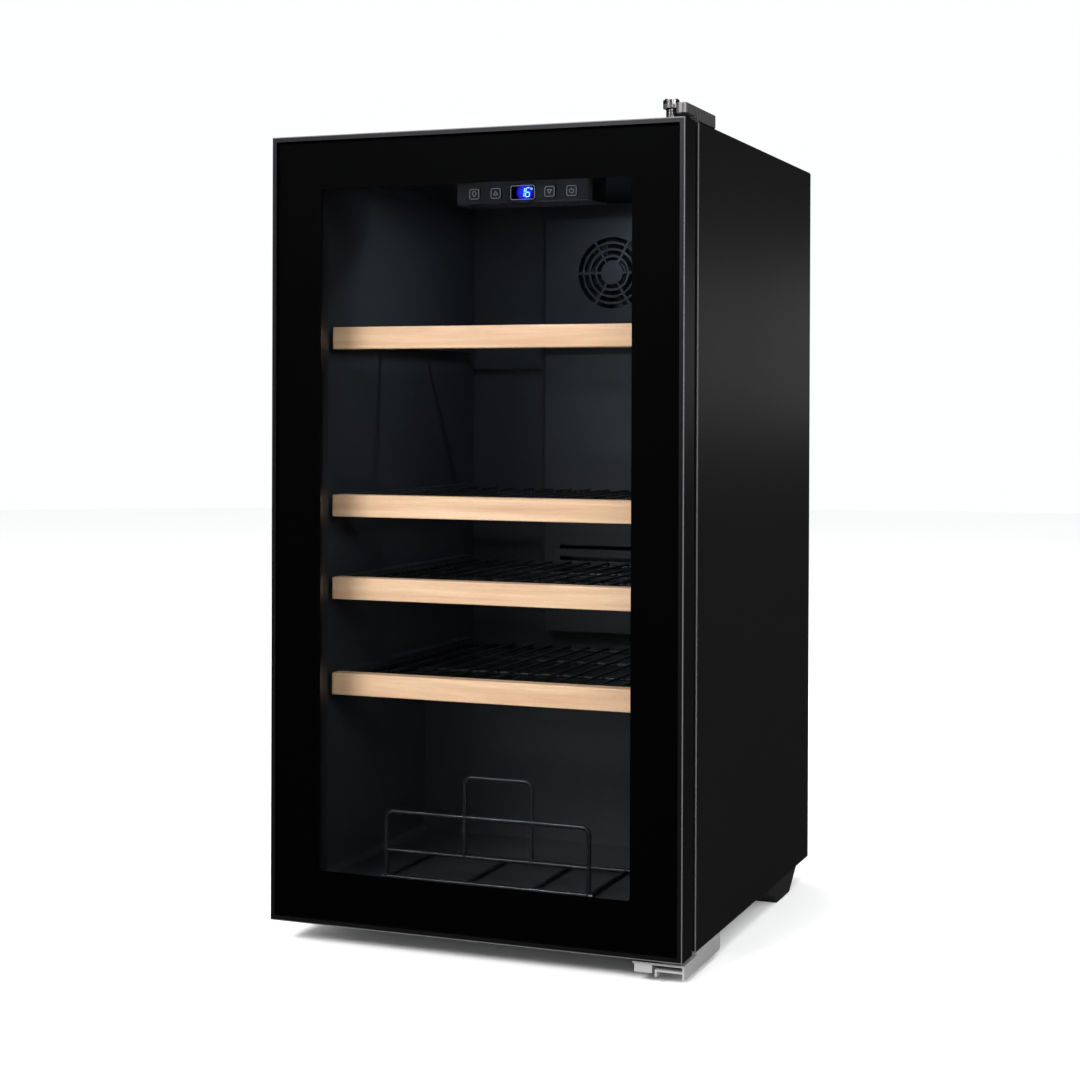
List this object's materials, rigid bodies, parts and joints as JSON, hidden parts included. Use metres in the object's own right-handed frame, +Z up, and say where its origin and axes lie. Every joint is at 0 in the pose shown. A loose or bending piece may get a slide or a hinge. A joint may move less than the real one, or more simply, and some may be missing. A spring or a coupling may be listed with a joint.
{
  "type": "wine cooler",
  "caption": "Free-standing wine cooler with a framed glass door, wire shelves with beech fronts, a bottle rack and a touch panel.",
  "frame": {"origin": "on the floor, under the middle of the cooler's bounding box", "axes": "+X towards the hinge side, +Y from the door to the back, +Z up"},
  "size_m": [0.45, 0.505, 0.861],
  "materials": {
    "cabinet_paint": "satin black powder coat",
    "galvanised": "spangled zinc",
    "zinc_steel": "zinc plate",
    "foam": "rigid polyurethane foam",
    "liner_plastic": "moulded black polystyrene, fine grain",
    "black_plastic": "moulded, fine grain",
    "dark_chrome": "dark chrome",
    "satin_steel": "satin",
    "compressor_paint": "gloss black enamel",
    "rubber": "soft matt",
    "copper": "drawn copper tube",
    "aluminium": "mill finish",
    "frame_finish": "black anodised",
    "clear_glass": "polished float glass",
    "border_print": "fired black enamel behind glass",
    "nylon": "natural nylon",
    "gloss_panel": "gloss black",
    "display": "lit blue window",
    "circuit_board": "solder mask",
    "lamp_plastic": "frosted",
    "coated_wire": "black coated",
    "beech": "fine sanded beech"
  },
  "bodies": {
    "cabinet": {"outer_wrap": "cabinet_paint", "back_panel": "galvanised", "back_screws": "zinc_steel", "base_pan": "galvanised", "insulation_foam": "foam", "inner_liner": "liner_plastic", "foot_sockets": "zinc_steel", "rear_feet": "black_plastic", "top_hinge_bracket": "dark_chrome", "top_hinge_pin": "dark_chrome", "bottom_hinge_bracket": "satin_steel", "bottom_hinge_pin": "satin_steel", "hinge_screws": "zinc_steel", "compressor_tray": "galvanised", "compressor": "compressor_paint", "compressor_grommets": "rubber", "relay_cover": "black_plastic", "drip_tray": "black_plastic", "filter_drier": "copper", "refrigerant_pipes": "copper", "condenser_coil": "copper", "evaporator": "aluminium", "power_box": "black_plastic", "mains_inlet": "black_plastic", "control_housing": "gloss_panel", "control_board": "circuit_board", "display_lens": "display", "lamp_lens": "lamp_plastic", "lamp_board": "circuit_board", "duct_cover": "liner_plastic", "fan_frame": "black_plastic", "temperature_sensor": "black_plastic", "bottle_rack": "coated_wire"},
    "door": {"door_rail_top": "frame_finish", "door_rail_bottom": "frame_finish", "door_stile_left": "frame_finish", "door_stile_right": "frame_finish", "corner_keys": "aluminium", "outer_glass": "clear_glass", "inner_glass": "clear_glass", "glass_border": "border_print", "glass_spacer": "aluminium", "door_inner_frame": "black_plastic", "door_gasket": "rubber", "hinge_bushings": "nylon"},
    "shelf_1": {"shelf_1_wire": "coated_wire", "shelf_1_front": "beech"},
    "shelf_2": {"shelf_2_wire": "coated_wire", "shelf_2_front": "beech"},
    "shelf_3": {"shelf_3_wire": "coated_wire", "shelf_3_front": "beech"},
    "shelf_4": {"shelf_4_wire": "coated_wire", "shelf_4_front": "beech"},
    "key_light": {"key_light": "gloss_panel"},
    "key_up": {"key_up": "gloss_panel"},
    "key_down": {"key_down": "gloss_panel"},
    "key_power": {"key_power": "gloss_panel"},
    "fan_rotor": {"fan_rotor": "black_plastic"},
    "front_foot_left": {"front_foot_left": "black_plastic"},
    "front_foot_right": {"front_foot_right": "black_plastic"}
  },
  "joints": [
    {"name": "door_swing", "type": "hinge", "parent": "cabinet", "child": "door", "pos_m": [0.205, -0.2335, 0], "axis": [0, 0, 1], "range_deg": [0, 110]},
    {"name": "shelf_1_slide", "type": "slide", "parent": "cabinet", "child": "shelf_1", "axis": [0, -1, 0], "range_m": [0, 0.018]},
    {"name": "shelf_2_slide", "type": "slide", "parent": "cabinet", "child": "shelf_2", "axis": [0, -1, 0], "range_m": [0, 0.018]},
    {"name": "shelf_3_slide", "type": "slide", "parent": "cabinet", "child": "shelf_3", "axis": [0, -1, 0], "range_m": [0, 0.018]},
    {"name": "shelf_4_slide", "type": "slide", "parent": "cabinet", "child": "shelf_4", "axis": [0, -1, 0], "range_m": [0, 0.018]},
    {"name": "key_light_press", "type": "slide", "parent": "cabinet", "child": "key_light", "axis": [0, 1, 0], "range_m": [0, 0.0006], "stiffness_N_per_m": 800},
    {"name": "key_up_press", "type": "slide", "parent": "cabinet", "child": "key_up", "axis": [0, 1, 0], "range_m": [0, 0.0006], "stiffness_N_per_m": 800},
    {"name": "key_down_press", "type": "slide", "parent": "cabinet", "child": "key_down", "axis": [0, 1, 0], "range_m": [0, 0.0006], "stiffness_N_per_m": 800},
    {"name": "key_power_press", "type": "slide", "parent": "cabinet", "child": "key_power", "axis": [0, 1, 0], "range_m": [0, 0.0006], "stiffness_N_per_m": 800},
    {"name": "fan_spin", "type": "hinge", "parent": "cabinet", "child": "fan_rotor", "pos_m": [0, 0.188, 0.723], "axis": [0, 1, 0], "continuous": true},
    {"name": "front_foot_left_turn", "type": "hinge", "parent": "cabinet", "child": "front_foot_left", "pos_m": [-0.17, -0.1475, 0.02], "axis": [0, 0, 1], "continuous": true},
    {"name": "front_foot_right_turn", "type": "hinge", "parent": "cabinet", "child": "front_foot_right", "pos_m": [0.17, -0.1475, 0.02], "axis": [0, 0, 1], "continuous": true}
  ]
}
